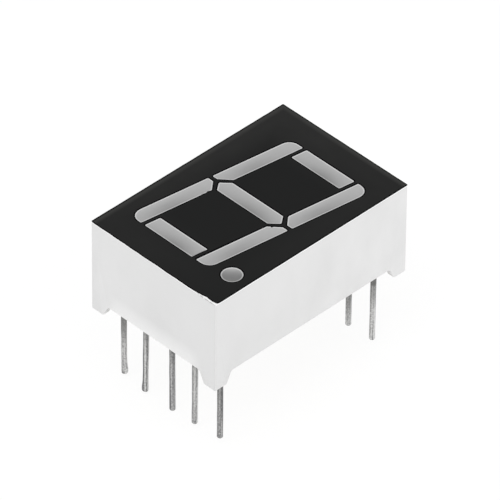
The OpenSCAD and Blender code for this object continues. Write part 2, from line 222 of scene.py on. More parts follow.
class LeadSettings(bpy.types.PropertyGroup):
    """Sizes and colours of the tinned leads."""

    tip_radius: length("Tip radius", "Rounding of a lead's tip", 0.14)
    coat: length("Coat", "Unevenness of the tin coat", 0.018)
    rings: IntProperty(name="Rings", description="Rings of points along a lead", default=80, min=8, max=200)
    # The tin's streaks run between these two colours; they are partly the drawn tin and partly painted
    # reflection
    bright_tin: colour("Bright tin", "Colour of the tin's ridges", 0.72, 0.72, 0.71)
    dull_tin: colour("Dull tin", "Colour of the tin's hollows", 0.14, 0.14, 0.145)
    # Painted shadow at a lead's root under the housing; the cut end takes this colour too
    flux: colour("Flux", "Colour of the flux stain at a lead's root", 0.11, 0.11, 0.105)


class ResinSettings(bpy.types.PropertyGroup):
    """Sizes and colours of the resin that seals the back."""

    meniscus: length("Meniscus", "How far the resin climbs the walls and the leads", 0.08)
    reach: length("Reach", "Width of the climbing rim", 0.17)
    clear: colour("Clear", "Colour of the resin", 0.66, 0.63, 0.52)
    cloudy: colour("Cloudy", "Colour of the resin's cloudy patches", 0.56, 0.52, 0.40)


class InsideSettings(bpy.types.PropertyGroup):
    """Colours of the pieces inside the housing."""

    laminate: colour("Laminate", "Colour of the circuit board", 0.03, 0.16, 0.07)
    weave: colour("Weave", "Colour of the board's glass weave", 0.05, 0.22, 0.10)
    copper: colour("Copper", "Colour of the copper", 0.80, 0.42, 0.25)
    adhesive: colour("Adhesive", "Colour of the adhesive under the chips", 0.55, 0.55, 0.56)
    chip: colour("Chip", "Colour of the chips", 0.42, 0.25, 0.06)
    gold: colour("Gold", "Colour of the bond wires", 0.95, 0.66, 0.25)
    solder: colour("Solder", "Colour of the solder", 0.50, 0.50, 0.50)


class StageSettings(bpy.types.PropertyGroup):
    """The floor, the light and the camera."""

    floor_size: length("Floor size", "Width of the floor", 4000.0, 100.0, 10000.0)
    floor_drop: length("Floor drop", "How far the floor lies below the leads as drawn", 0.25)
    floor: colour("Floor", "Colour of the floor", 0.93, 0.93, 0.93)
    whiteness: share("Whiteness", "How far the floor is lifted towards white for the camera", 0.86)
    ambient: share("Ambient", "Strength of the even light from all round", 0.62, 4.0)
    key_power: power("Key power", "Power of the lamp above", 1.35)
    fill_power: power("Fill power", "Power of the lamp at the right", 0.7)
    low_power: power("Low power", "Power of the low lamp in front", 0.4)
    lamp_size: length("Lamp size", "Width of each lamp", 450.0, 10.0, 2000.0)
    lamp_distance: length("Lamp distance", "Distance of each lamp", 700.0, 10.0, 5000.0)
    camera_azimuth: angle("Camera azimuth", "Turn of the camera from the front", 45.349)
    camera_elevation: angle("Camera elevation", "Height of the camera above the level", 40.111)
    camera_roll: angle("Camera roll", "Roll of the camera", 0.543)
    camera_distance: length("Camera distance", "Distance from the camera to the face", 510.97, 10.0, 5000.0)
    camera_drop: length("Camera drop", "How far the view's middle lies below the face's middle", 3.327)
    lens: FloatProperty(name="Lens", description="Focal length", default=519.89, min=10.0, unit="CAMERA")


# Shader nodes


class Wire:
    """A node's output; sums written with it add Math nodes."""

    def __init__(self, recipe, socket):
        self.recipe = recipe
        self.socket = socket

    def _math(self, operation, first, second):
        return self.recipe.node("ShaderNodeMath", {"operation": operation}, {0: first, 1: second})

    def __add__(self, other):
        return self._math("ADD", self, other)

    def __radd__(self, other):
        return self._math("ADD", other, self)

    def __sub__(self, other):
        return self._math("SUBTRACT", self, other)

    def __rsub__(self, other):
        return self._math("SUBTRACT", other, self)

    def __mul__(self, other):
        return self._math("MULTIPLY", self, other)

    def __rmul__(self, other):
        return self._math("MULTIPLY", other, self)

    def __truediv__(self, other):
        return self._math("DIVIDE", self, other)

    def __rtruediv__(self, other):
        return self._math("DIVIDE", other, self)

    def __pow__(self, other):
        return self._math("POWER", self, other)

    def __abs__(self):
        return self._math("ABSOLUTE", self, 0.0)

    def or_more(self, other):
        """The larger of two values."""
        return self._math("MAXIMUM", self, other)

    def clamped(self):
        return self.recipe.node("ShaderNodeClamp", {}, {"Value": self})

    def rise(self, start, end):
        """From 0 where the value is start to 1 where it is end, which may be the lower of the two."""
        return ((self - start) / (end - start)).clamped()


class Recipe:
    """The nodes of one material or of the world."""

    def __init__(self, tree):
        self.tree = tree
        tree.nodes.clear()

    def node(self, kind, settings, sockets, output=0):
        """Adds a node with its settings, then the values or wires of its sockets, by name or number."""
        made = self.tree.nodes.new(kind)
        for name, value in settings.items():
            if name == "stops":
                self._set_stops(made.color_ramp, value)
            else:
                setattr(made, name, value)
        for name, value in sockets.items():
            if isinstance(value, Wire):
                self.tree.links.new(value.socket, made.inputs[name])
            else:
                made.inputs[name].default_value = value
        return Wire(self, made.outputs[output])

    @staticmethod
    def _set_stops(ramp, stops):
        while len(ramp.elements) < len(stops):
            ramp.elements.new(1.0)
        for element, (place, grey) in zip(ramp.elements, stops):
            element.position = place
            element.color = (grey, grey, grey, 1.0)

    def end(self, kind, shader):
        """Ends the tree with an output node for the shader."""
        self.tree.links.new(shader.socket, self.tree.nodes.new(kind).inputs["Surface"])

    def place(self, stretch=(1.0, 1.0, 1.0)):
        """The point on the object, stretched along its axes."""
        point = self.node("ShaderNodeTexCoord", {}, {}, "Object")
        return self.node("ShaderNodeMapping", {}, {"Vector": point, "Scale": stretch})

    def parts(self, point):
        """The X and Y of a point."""
        split = self.node("ShaderNodeSeparateXYZ", {}, {"Vector": point}).socket.node
        return Wire(self, split.outputs["X"]), Wire(self, split.outputs["Y"])

    def across_and_up(self):
        """How far a point lies to the right of the object's middle and above it, in metres."""
        return self.parts(self.node("ShaderNodeTexCoord", {}, {}, "Object"))

    def height(self):
        """How high a point lies, in metres."""
        point = self.node("ShaderNodeTexCoord", {}, {}, "Object")
        return self.node("ShaderNodeSeparateXYZ", {}, {"Vector": point}, "Z")

    def mark(self, name):
        """A mark that the piece's points carry."""
        return self.node("ShaderNodeAttribute", {"attribute_name": name}, {}, "Fac")

    def speckle(self, point, size, detail=2.0, roughness=0.5):
        """Noise from 0 to 1 whose spots are about the given size."""
        return self.node(
            "ShaderNodeTexNoise",
            {},
            {"Vector": point, "Scale": 1.0 / size, "Detail": detail, "Roughness": roughness},
        )

    def ramp(self, value, *stops):
        """A grey ramp through (place, grey) stops."""
        return self.node("ShaderNodeValToRGB", {"stops": stops}, {"Fac": value})

    def blend(self, amount, first, second):
        """Mixes two colours, which are sockets 6 and 7 of a Mix node and its output 2."""
        colours = {0: amount, 6: opaque(first), 7: opaque(second)}
        return self.node("ShaderNodeMix", {"data_type": "RGBA"}, colours, 2)

    def bump(self, height, strength, depth):
        """The normal of a surface that a height from 0 to 1 raises by up to depth."""
        return self.node(
            "ShaderNodeBump", {}, {"Height": height, "Strength": strength, "Distance": depth}, "Normal"
        )


def opaque(value):
    """A colour with its alpha, or a wire as it is."""
    return value if isinstance(value, Wire) else (*value, 1.0)


def empty_material(name):
    """A new material and the recipe that fills it."""
    made = bpy.data.materials.new(name)
    made.use_nodes = True
    return made, Recipe(made.node_tree)


def material(name, cook, **finish):
    """A material whose surface sockets come from cook(recipe), over the fixed values of finish."""
    made, recipe = empty_material(name)
    sockets = {key.replace("_", " "): value for key, value in finish.items()}
    sockets.update(cook(recipe))
    shader = recipe.node("ShaderNodeBsdfPrincipled", {}, sockets)
    recipe.end("ShaderNodeOutputMaterial", shader)
    return made


# Finishes


def smeared(recipe, settings):
    """Where ink is smeared: in dots along the top of the front wall, towards the right corner."""
    low, high = node_box("reflector_housing")
    middle_x = 0.86 * high.x
    reach = 0.15 * high.x
    skin = 0.02 * MM
    dot = 0.14 * MM
    strength = 0.6
    bottom = high.z - settings.smear
    right, up = recipe.across_and_up()
    off_middle = (right - middle_x) / reach
    along = (off_middle * off_middle).rise(1.3, 0.3)
    on_wall = up.rise(low.y + 2.0 * skin, low.y + skin)
    at_top = recipe.height().rise(bottom, bottom + 0.3 * settings.smear)
    dots = recipe.speckle(recipe.place(), dot).rise(0.34, 0.5)
    return strength * along * on_wall * at_top * dots


def underlight(recipe, settings):
    """Painted light on the end walls, as if lit from below: between the feet, and most at the lower edge."""
    high = node_box("reflector_housing")[1]
    foot_x = high.x - 1.4 * MM
    bright_x = foot_x - 1.2 * MM
    bright_z = settings.underlight_height - 1.55 * MM
    wall_y = high.y - 0.1 * MM
    skin = 0.02 * MM
    right, up = recipe.across_and_up()
    between_feet = abs(right).rise(foot_x, bright_x)
    on_end = abs(up).rise(wall_y - skin, wall_y)
    downwards = recipe.height().rise(settings.underlight_height, bright_z)
    return between_feet * on_end * downwards


def moulded_plastic(settings):
    """White plastic with flow marks, painted paler downwards and away from the near corner as light falls,
    with a painted highlight along the rim and painted light low on the end walls.
    """
    low, high = node_box("reflector_housing")
    rim_z = high.z - settings.bright_rim
    flow_width = 3.0 * MM
    corner_width = 0.2 * MM

    def cook(recipe):
        flow = 0.8 * recipe.speckle(recipe.place((1.0, 1.0, 0.5)), flow_width, detail=3.0).rise(0.4, 0.75)
        grain = recipe.speckle(recipe.place(), settings.grain, detail=3.0)
        # Painted highlight along the top of the walls, under the face
        rim = recipe.height().rise(rim_z, rim_z + 0.3 * settings.bright_rim)
        footward = recipe.height().rise(high.z, low.z)
        right, up = recipe.across_and_up()
        # Distance from the near upright corner, along the walls
        from_corner = high.x - right + (up - low.y)
        # Painted light: paler towards the feet and away from the near corner
        lit_share = 0.45 * footward + 0.55 * from_corner.rise(0.0, high.y - low.y)
        even = recipe.blend(lit_share, settings.plastic, settings.lit_plastic)
        plastic = recipe.blend(flow, even, settings.flow_line)
        # Painted highlight on the rim and painted light low on the end walls
        clean = recipe.blend(rim.or_more(underlight(recipe, settings)), plastic, settings.painted_light)
        # Painted shade: a faint dark line along the near upright corner, in the ink colour
        corner_shade = 0.06 * from_corner.rise(corner_width, 0.0)
        marked = smeared(recipe, settings).or_more(corner_shade)
        return {
            "Base Color": recipe.blend(marked, clean, settings.ink),
            "Roughness": 0.38 + 0.12 * grain,
            "Normal": recipe.bump(grain, strength=0.25, depth=0.004 * MM),
        }

    return material("moulded_plastic", cook, IOR=1.48)


def printed_film(settings):
    """Matt black print with painted shade along its lip, dulled by handling and rubbed along two edges."""
    low, high = node_box("face_mask")
    dust_width = 2.2 * MM
    grain_width = 0.05 * MM
    # Distances from the film's edge over which the rubbed band sets in
    band_start = 0.04 * MM
    band_full = 0.17 * MM

    def handled(right, up):
        """How much handling has dulled the film: only round the digit, and most towards the upper left."""
        right_share = right / high.x
        up_share = up / high.y
        outside = abs(right_share).or_more(abs(up_share)).rise(0.5, 0.85)
        upper_left = (0.55 + 0.25 * (up_share - right_share)).clamped()
        return outside * upper_left

    def band(off_edge):
        """How rubbed the film is at a distance from its top or left edge: most just inside the lip."""
        return off_edge.rise(settings.rubbed_band, 0.0) * off_edge.rise(band_start, band_full)

    def cook(recipe):
        dust = recipe.speckle(recipe.place(), dust_width, detail=4.0, roughness=0.6)
        grain = recipe.speckle(recipe.place(), grain_width)
        right, up = recipe.across_and_up()
        dulled = (handled(right, up) * (0.55 + 0.9 * dust)).clamped()
        face = recipe.blend(dulled, settings.face, settings.haze)
        rubbed = band(high.y - up).or_more(band(right - low.x)) * (0.5 + dust).clamped()
        worn = recipe.blend(rubbed, face, settings.rubbed)
        # Painted shade along the film's edges
        lip = recipe.mark("lip").rise(0.05, 0.35)
        return {
            "Base Color": recipe.blend(lip, worn, settings.lip),
            "Roughness": 0.5 + 0.14 * grain,
            "Normal": recipe.bump(grain, strength=0.3, depth=0.003 * MM),
        }

    return material("printed_film", cook, Specular_IOR_Level=0.02)


def bar_shade(along, across):
    """How dark a level segment's resin is, as painted shade: darkest over its chip, partly the chip's own
    dark, and along its low side, where the well's near wall is shaded.
    """
    chip_place = 0.22
    chip_reach = 0.62
    off_chip = (along - chip_place) / chip_reach
    over_chip = 1.06 / (1.0 + off_chip * off_chip)
    low_side = across.rise(-1.0, 1.0) ** 1.15
    left_end = along.rise(-0.6, -1.6)
    return over_chip * low_side - 0.2 * left_end


def post_shade(along, across):
    """How dark an upright segment's resin is, as painted shade, which is less so along its low side."""
    return bar_shade(along, across - 0.5 * across.clamped())


def dot_shade(along, across):
    """How dark the decimal point's resin is, as painted shade: bright only along its upper left edge."""
    return 1.0 - across.rise(1.0, -1.0) ** 3.2


def milky_resin(name, shade, rim_shade, milky, deep, edge):
    """Resin with painted shade over the piece's own map, in which U runs along the well and V across it.

    Where the resin is darkest, its bright edge shows less, by rim_shade.
    """
    cloud_width = 0.35 * MM
    grain_width = 0.04 * MM

    def cook(recipe):
        along, across = recipe.parts(recipe.node("ShaderNodeUVMap", {"uv_map": "well"}, {}))
        cloud = recipe.speckle(recipe.place(), cloud_width, detail=3.0)
        grain = recipe.speckle(recipe.place(), grain_width)
        # Painted shade of the chip and the shaded well wall seen through the resin, with a little cloud
        depth = (shade(along, across) + 0.09 * (cloud - 0.5)).clamped()
        rim = recipe.mark("rim") * (1.0 - rim_shade * depth)
        return {
            "Base Color": recipe.blend(rim, recipe.blend(depth, milky, deep), edge),
            "Roughness": 0.46 + 0.12 * grain,
            "Normal": recipe.bump(grain, strength=0.25, depth=0.003 * MM),
        }

    return material(name, cook, Specular_IOR_Level=0.25)


def drawn_tin(settings):
    """Tin with streaks along the lead, partly drawn tin and partly painted reflection, and painted shadow at
    its root under the housing.
    """
    seat_z = node_box("reflector_housing")[0].z
    # The painted shadow at the root ends raggedly, between these distances below the seat
    seat_shadow_full = 0.78 * MM
    seat_shadow_end = 1.38 * MM
    seat_shadow_ragged = 0.48 * MM
    streak_width = 0.13 * MM
    grit_width = 0.11 * MM

    def cook(recipe):
        streak = recipe.speckle(recipe.place((1.0, 1.0, 0.012)), streak_width, roughness=0.7)
        patch = recipe.speckle(recipe.place((1.0, 1.0, 0.6)), grit_width, detail=3.0, roughness=0.6)
        grit = recipe.speckle(recipe.place(), grit_width, detail=1.0)
        # The streaks are partly drawn tin and partly painted reflection
        tone = 0.8 * streak + 0.22 * patch + 0.42 * (grit - 0.5) + 0.18 * (recipe.mark("shine") - 0.5)
        ridges_and_reflections = recipe.ramp(tone, (0.33, 0.0), (0.47, 0.35), (0.65, 1.0))
        tin = recipe.blend(ridges_and_reflections, settings.dull_tin, settings.bright_tin)
        ragged_height = recipe.height() + seat_shadow_ragged * (patch - 0.5)
        # Painted shadow under the housing, at the lead's root
        seat_shadow = ragged_height.rise(seat_z - seat_shadow_end, seat_z - seat_shadow_full)
        marked = (0.85 * seat_shadow).or_more(0.6 * recipe.mark("cut")).or_more(recipe.mark("flux"))
        return {
            "Base Color": recipe.blend(marked, tin, settings.flux),
            "Roughness": 0.26 + 0.2 * patch,
            "Normal": recipe.bump(streak, strength=0.5, depth=0.006 * MM),
        }

    return material("drawn_tin", cook, Metallic=1.0)


def cast_resin(settings):
    """Glossy resin with cloudy patches and a rippled surface."""
    cloud_width = 2.6 * MM
    ripple_width = 1.1 * MM

    def cook(recipe):
        cloud = recipe.speckle(recipe.place(), cloud_width, detail=4.0, roughness=0.55)
        ripple = recipe.speckle(recipe.place(), ripple_width)
        return {
            "Base Color": recipe.blend(cloud.rise(0.35, 0.7), settings.clear, settings.cloudy),
            "Roughness": 0.16 + 0.16 * cloud,
            "Normal": recipe.bump(ripple, strength=0.35, depth=0.05 * MM),
        }

    return material("cast_resin", cook, IOR=1.52)


def glass_laminate(settings):
    """The board's green laminate with its woven glass."""

    def threads(recipe, way):
        """The glass threads that lie side by side in one way of the board."""
        waves = {"Vector": recipe.place(), "Scale": 0.5 / MM, "Distortion": 0.6}
        return recipe.node("ShaderNodeTexWave", {"bands_direction": way}, waves, "Fac")

    def cook(recipe):
        weave = threads(recipe, "X") * threads(recipe, "Y")
        return {
            "Base Color": recipe.blend(weave, settings.laminate, settings.weave),
            "Roughness": 0.3 + 0.15 * weave,
            "Normal": recipe.bump(weave, strength=0.2, depth=0.01 * MM),
        }

    return material("glass_laminate", cook)


def worked_metal(name, tint, spot, smooth, rough):
    """A metal with patches about as wide as spot, from smooth to rough."""

    def cook(recipe):
        patch = recipe.speckle(recipe.place(), spot, detail=3.0)
        return {
            "Base Color": recipe.blend(patch, [0.8 * c for c in tint], tint),
            "Roughness": smooth + (rough - smooth) * patch,
            "Normal": recipe.bump(patch, strength=0.25, depth=0.1 * spot),
        }

    return material(name, cook, Metallic=1.0)


def crystal(name, tint):
    """A chip's glossy crystal, with soft facets."""
    facet_width = 0.08 * MM

    def cook(recipe):
        facet = recipe.speckle(recipe.place(), facet_width)
        return {
            "Base Color": recipe.blend(facet, [0.6 * c for c in tint], tint),
            "Roughness": 0.12 + 0.2 * facet,
        }

    return material(name, cook, IOR=3.3)


# Mesh work


def only(piece):
    """Makes a piece the only one that is selected, and the active one."""
    bpy.ops.object.select_all(action="DESELECT")
    piece.select_set(True)
    bpy.context.view_layer.objects.active = piece


@contextmanager
def editing(piece, kind):
    """Edit mode on one piece, with nothing of it selected."""
    only(piece)
    bpy.ops.object.mode_set(mode="EDIT")
    bpy.ops.mesh.select_mode(type=kind)
    bpy.ops.mesh.select_all(action="DESELECT")
    yield
    bpy.ops.object.mode_set(mode="OBJECT")


def pick(piece, kind, wanted):
    """Selects, in edit mode, the faces, edges or verts for which wanted(element) is true."""
    bpy.ops.mesh.select_all(action="DESELECT")
    shape = bmesh.from_edit_mesh(piece.data)
    for element in getattr(shape, kind):
        if wanted(element):
            element.select_set(True)
    shape.select_flush_mode()
    bmesh.update_edit_mesh(piece.data)


def middle(element):
    """The middle of a face or an edge."""
    points = [vert.co for vert in element.verts]
    return sum(points, Vector()) / len(points)


def sharp(edge):
    """True for an edge that shading doesn't smooth over."""
    return len(edge.link_faces) == 2 and edge.calc_face_angle() > SMOOTH_ANGLE


def merged_copy(node, name):
    """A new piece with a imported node's mesh, its corners merged and its flat faces whole."""
    piece = add_object(name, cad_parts[node].data.copy())
    piece.data.materials.clear()
    only(piece)
    bpy.ops.mesh.customdata_custom_splitnormals_clear()
    with editing(piece, "VERT"):
        bpy.ops.mesh.select_all(action="SELECT")
        bpy.ops.mesh.remove_doubles(threshold=MERGE_DISTANCE)
        bpy.ops.mesh.dissolve_limited(angle_limit=FLAT_ANGLE)
    return piece


def finish_piece(piece, look, slot, *nodes):
    """Smooths a piece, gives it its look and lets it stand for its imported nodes."""
    only(piece)
    bpy.ops.object.shade_smooth_by_angle(angle=SMOOTH_ANGLE)
    piece.data.materials.append(look)
    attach(piece, "root")
    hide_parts(*nodes)


def dress(nodes, look):
    """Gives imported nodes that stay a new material."""
    for name in nodes:
        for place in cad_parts[name].material_slots:
            place.material = look


# Housing


def moulded_housing(settings):
    """The housing, with the edges round its face and at its feet rounded."""
    piece = merged_copy("reflector_housing", "moulded_housing")
    high = node_box("reflector_housing")[1]
    sealed_above = node_box("rear_potting")[0].z
    rim_width = 0.3 * MM
    same_level = 10 * MERGE_DISTANCE

    def on_rim(edge):
        point = middle(edge)
        outside = abs(point.x) > high.x - rim_width or abs(point.y) > high.y - rim_width
        level = all(abs(vert.co.z - high.z) < same_level for vert in edge.verts)
        return outside and level and sharp(edge)

    def on_foot(edge):
        return sharp(edge) and all(vert.co.z < sealed_above for vert in edge.verts)

    with editing(piece, "EDGE"):
        pick(piece, "edges", on_rim)
        bpy.ops.mesh.bevel(offset=settings.rim_radius, segments=2, clamp_overlap=False)
        pick(piece, "edges", on_foot)
        bpy.ops.mesh.bevel(offset=settings.foot_radius, segments=2, clamp_overlap=False)
    finish_piece(piece, moulded_plastic(settings), "housing_plastic", "reflector_housing")


# Face film


def is_wall(face):
    """True for an upright face of the film, at its outside or in an opening."""
    return abs(face.normal.z) < 0.5


def on_film_edge(edge):
    """True for the edges round the film's top and underside."""
    return len(edge.link_faces) == 2 and is_wall(edge.link_faces[0]) != is_wall(edge.link_faces[1])


def smooth_step(low, high, value):
    """From 0 at low to 1 at high, with a soft start and end."""
    t = min(max((value - low) / (high - low), 0.0), 1.0)
    return t * t * (3.0 - 2.0 * t)


def bell(value, centre, width):
    """1 at the centre, and a little over a third at the width from it."""
    return math.exp(-(((value - centre) / width) ** 2))


def lip_reach(settings):
    """How far from the film's outer edge a point still is on the lip."""
    return 1.2 * settings.lip_width


def on_lip(point, settings):
    """True for a point on the lip along the film's outer edge."""
    low, high = node_box("face_mask")
    to_edge = min(high.x - point.x, point.x - low.x, high.y - point.y, point.y - low.y)
    return to_edge < lip_reach(settings)


def retreat(point, settings):
    """How far the film's outer edge has drawn back at a point, along X and along Y."""
    low, high = node_box("face_mask")
    reach = lip_reach(settings)
    side_ragged = 0.3 * settings.ragged
    top_ragged = 0.25 * settings.ragged
    dent_y = 0.64 * low.y
    dent_reach = 0.9 * MM
    worn_reach = 0.22 * MM
    worn_start = 0.62 * high.x
    worn_full = 0.86 * high.x
    fine = 0.2 * noise.noise(point * 9.0 / MM) + 0.35 * noise.noise(point * 3.5 / MM)
    coarse = noise.noise(point * 1.3 / MM)
    x_pull = 0.0
    y_pull = 0.0
    if point.x > high.x - reach:
        worn = settings.corner_wear * bell(point.y, low.y, worn_reach)
        x_pull = side_ragged * (fine + coarse + bell(point.y, dent_y, dent_reach)) + worn
    if point.x < low.x + reach:
        x_pull = -side_ragged * (fine + coarse)
    if point.y > high.y - reach:
        y_pull = top_ragged * (fine + coarse)
    if point.y < low.y + reach:
        worn = settings.corner_wear * smooth_step(worn_start, worn_full, point.x)
        y_pull = -settings.ragged * (0.2 + fine + 0.6 * coarse) - worn * (1.0 + fine)
    return x_pull, y_pull


def outward_ways(piece):
    """For each point on a wall of the film, the way that the wall faces there."""
    ways = {}
    for polygon in piece.data.polygons:
        if is_wall(polygon):
            for index in polygon.vertices:
                ways[index] = ways.get(index, Vector()) + polygon.normal
    return {index: way.normalized() for index, way in ways.items()}


def flaw_push(flaw, point, way):
    """How far a flaw pushes a point; one inside the lip faces no way, and goes along."""
    push = Vector((flaw.push_x, flaw.push_y, 0.0)) * MM
    off = math.hypot(point.x - flaw.x * MM, point.y - flaw.y * MM)
    facing = max(0.0, way.dot(push.normalized())) if way.length else 1.0
    return push * facing * bell(off, 0.0, flaw.reach * MM)


def fray(piece, settings):
    """Moves the film's edges a little, so that they look printed and handled."""
    low, high = node_box("face_mask")
    ways = outward_ways(piece)
    for vert in piece.data.vertices:
        point = vert.co.copy()
        way = ways.get(vert.index, Vector())
        if on_lip(point, settings):
            x_pull, y_pull = retreat(Vector((point.x, point.y, 0.0)), settings)
            vert.co.x = min(max(point.x - x_pull, low.x), high.x) + settings.left_spread * min(way.x, 0.0)
            vert.co.y = min(max(point.y - y_pull, low.y), high.y) + settings.spread * max(way.y, 0.0)
        else:
            vert.co += settings.spread * way
            for flaw in FLAWS:
                vert.co += flaw_push(flaw, point, way)


def mark_points(piece, name, value_at):
    """Gives each point of a piece a mark that its finish reads."""
    mark = piece.data.attributes.new(name, "FLOAT", "POINT")
    for vert, value in zip(piece.data.vertices, mark.data):
        value.value = float(value_at(vert))


def mark_lip_shade(piece):
    """Marks the film's lip, where shade is painted."""
    edge_points = set(outward_ways(piece))
    mark_points(piece, "lip", lambda vert: vert.index in edge_points)


def face_film(settings):
    """The film with a lip along all its edges, cut finely enough to fray."""
    piece = merged_copy("face_mask", "face_film")
    high = node_box("face_mask")[1]

    def on_top(face):
        return face.normal.z > 0.5

    def along_lip(edge):
        return on_film_edge(edge) or all(on_lip(vert.co, settings) for vert in edge.verts)

    def in_corner(vert):
        nearer, further = sorted((high.x - abs(vert.co.x), high.y - abs(vert.co.y)))
        return nearer > 0.5 * settings.lip_width and further < 1.5 * settings.lip_width

    def cut_edges(shortest, longest, cuts):
        pick(piece, "edges", lambda edge: along_lip(edge) and shortest < edge.calc_length() / MM <= longest)
        bpy.ops.mesh.subdivide(number_cuts=cuts)

    with editing(piece, "FACE"):
        # One face with eight holes would tear in the inset, so triangles take its place first
        pick(piece, "faces", on_top)
        bpy.ops.mesh.quads_convert_to_tris(ngon_method="BEAUTY")
        bpy.ops.mesh.beautify_fill(angle_limit=math.pi)
        bpy.ops.mesh.inset(thickness=settings.lip_width)
        # In each corner the inset leaves a knot of points, which become one
        bpy.ops.mesh.select_mode(type="VERT")
        pick(piece, "verts", in_corner)
        bpy.ops.mesh.remove_doubles(threshold=settings.lip_width)
        bpy.ops.mesh.select_mode(type="EDGE")
        for row in LIP_CUTS:
            cut_edges(*row)
    mark_lip_shade(piece)
    fray(piece, settings)
    finish_piece(piece, printed_film(settings), "mask_black", "face_mask")


# Windows


def piece_node(letter):
    """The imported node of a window."""
    return "decimal_point_lens" if letter == "dp" else f"segment_{letter}_lens"


def map_well(piece, letter, settings):
    """Lays a map over a window: U along it and V across it, each to the right or down."""
    low, high = node_box(piece_node(letter))
    centre = (low + high) / 2
    lean = math.tan(settings.slant)
    half_height = (high.y - low.y) / 2
    half_width = (high.x - low.x) / 2 - lean * half_height
    # A level segment shows only the middle of the shade's length
    level_share = 0.8
    diagonal = math.sqrt(2) * (high.x - low.x) / 2
    layer = piece.data.uv_layers.new(name="well")
    for loop in piece.data.loops:
        point = piece.data.vertices[loop.vertex_index].co
        right = point.x - centre.x - lean * (point.y - centre.y)
        down = centre.y - point.y
        if letter == "dp":
            # The dot's map lies aslant, with V to its lower right
            place = ((right - down) / diagonal, (right + down) / diagonal)
        elif letter in LEVEL_SEGMENTS:
            place = (level_share * right / half_width, down / half_height)
        else:
            place = (down / half_height, right / half_width)
        layer.data[loop.index].uv = place


def window(letter, look, settings):
    """A window with a bright rim round its dished middle."""
    piece = merged_copy(piece_node(letter), f"window_{letter}")
    surface = node_box(piece_node(letter))[1].z
    same_level = 0.005 * MM
    # The rim slopes down to the dish in two steps, and the outer one is the steeper
    steps = (0.6, 0.4)

    def on_surface(face):
        return face.normal.z > 0.5 and abs(middle(face).z - surface) < same_level

    with editing(piece, "FACE"):
        pick(piece, "faces", on_surface)
        for drop in steps:
            bpy.ops.mesh.inset(thickness=0.5 * settings.rim_width, depth=-drop * settings.dish)
        bpy.ops.mesh.remove_doubles(threshold=0.25 * settings.rim_width)
    above_dish = surface - 0.8 * settings.dish
    mark_points(piece, "rim", lambda vert: vert.co.z > above_dish)
    map_well(piece, letter, settings)
    finish_piece(piece, look, "window_resin", piece_node(letter))


def windows(settings):
    """The seven segments, whose level and upright ones are shaded apart, and the decimal point."""
    bar_rim_shade = 0.38
    post_rim_shade = 0.1
    tones = (settings.milky, settings.deep, settings.rim)
    dot_tones = (settings.dot_milky, settings.dot_deep, settings.rim)
    bar_look = milky_resin("milky_resin_bar", bar_shade, bar_rim_shade, *tones)
    post_look = milky_resin("milky_resin_post", post_shade, post_rim_shade, *tones)
    dot_look = milky_resin("milky_resin_dot", dot_shade, bar_rim_shade, *dot_tones)
    for letter in SEGMENTS:
        window(letter, bar_look if letter in LEVEL_SEGMENTS else post_look, settings)
    window("dp", dot_look, settings)


# Leads


def first_lead(settings):
    """Models the first lead upright at its place."""
    low, high = node_box("pin_1")
    centre = (low + high) / 2
    radius = (high.x - low.x) / 2
    bpy.ops.object.select_all(action="DESELECT")
    bpy.ops.mesh.primitive_cylinder_add(
        vertices=36, radius=radius, depth=high.z - low.z, end_fill_type="NGON", location=centre
    )
    piece = bpy.context.object
    bpy.ops.object.transform_apply()
    with editing(piece, "EDGE"):
        pick(piece, "edges", lambda e: abs(e.verts[0].co.z - e.verts[1].co.z) > radius)
        bpy.ops.mesh.subdivide(number_cuts=settings.rings)
        pick(piece, "edges", lambda e: all(v.co.z < low.z + MERGE_DISTANCE for v in e.verts))
        bpy.ops.mesh.bevel(offset=settings.tip_radius, segments=4, clamp_overlap=False)
    return piece


def mark_tin(piece, form):
    """Marks a lead's tin brightness with its painted shade and reflection, its cut end and the painted shadow
    at its root.
    """
    points = [vert.co for vert in piece.data.vertices]
    left = min(point.dot(ASIDE) for point in points if abs(point.z) < MM)
    tip_z = min(point.z for point in points)
    cut_height = 0.05 * MM
    root_shadow_fade = 2.5 * MM
    side_width = 0.12 * MM
    # Painted shade along the left side and a painted dark reflection along a streak
    side_shade = 0.8
    dark_streak_place = 0.25 * MM
    dark_streak_width = 0.07 * MM
    dark_streak_strength = 0.25

    def shine(vert):
        """How bright the tin is, partly as painted reflection, with painted shade along one side and a
        painted dark reflection along a streak.
        """
        from_left = vert.co.dot(ASIDE) - left
        dark_streak = dark_streak_strength * bell(from_left, dark_streak_place, dark_streak_width)
        side = side_shade * (1.0 - smooth_step(0.0, side_width, from_left))
        return form.shine - dark_streak - side

    # Painted shadow at the root, fading downwards
    def flux(vert):
        return form.flux * smooth_step(0.0, root_shadow_fade, vert.co.z + form.down * MM)

    mark_points(piece, "shine", shine)
    mark_points(piece, "cut", lambda vert: vert.co.z < tip_z + cut_height)
    mark_points(piece, "flux", flux)


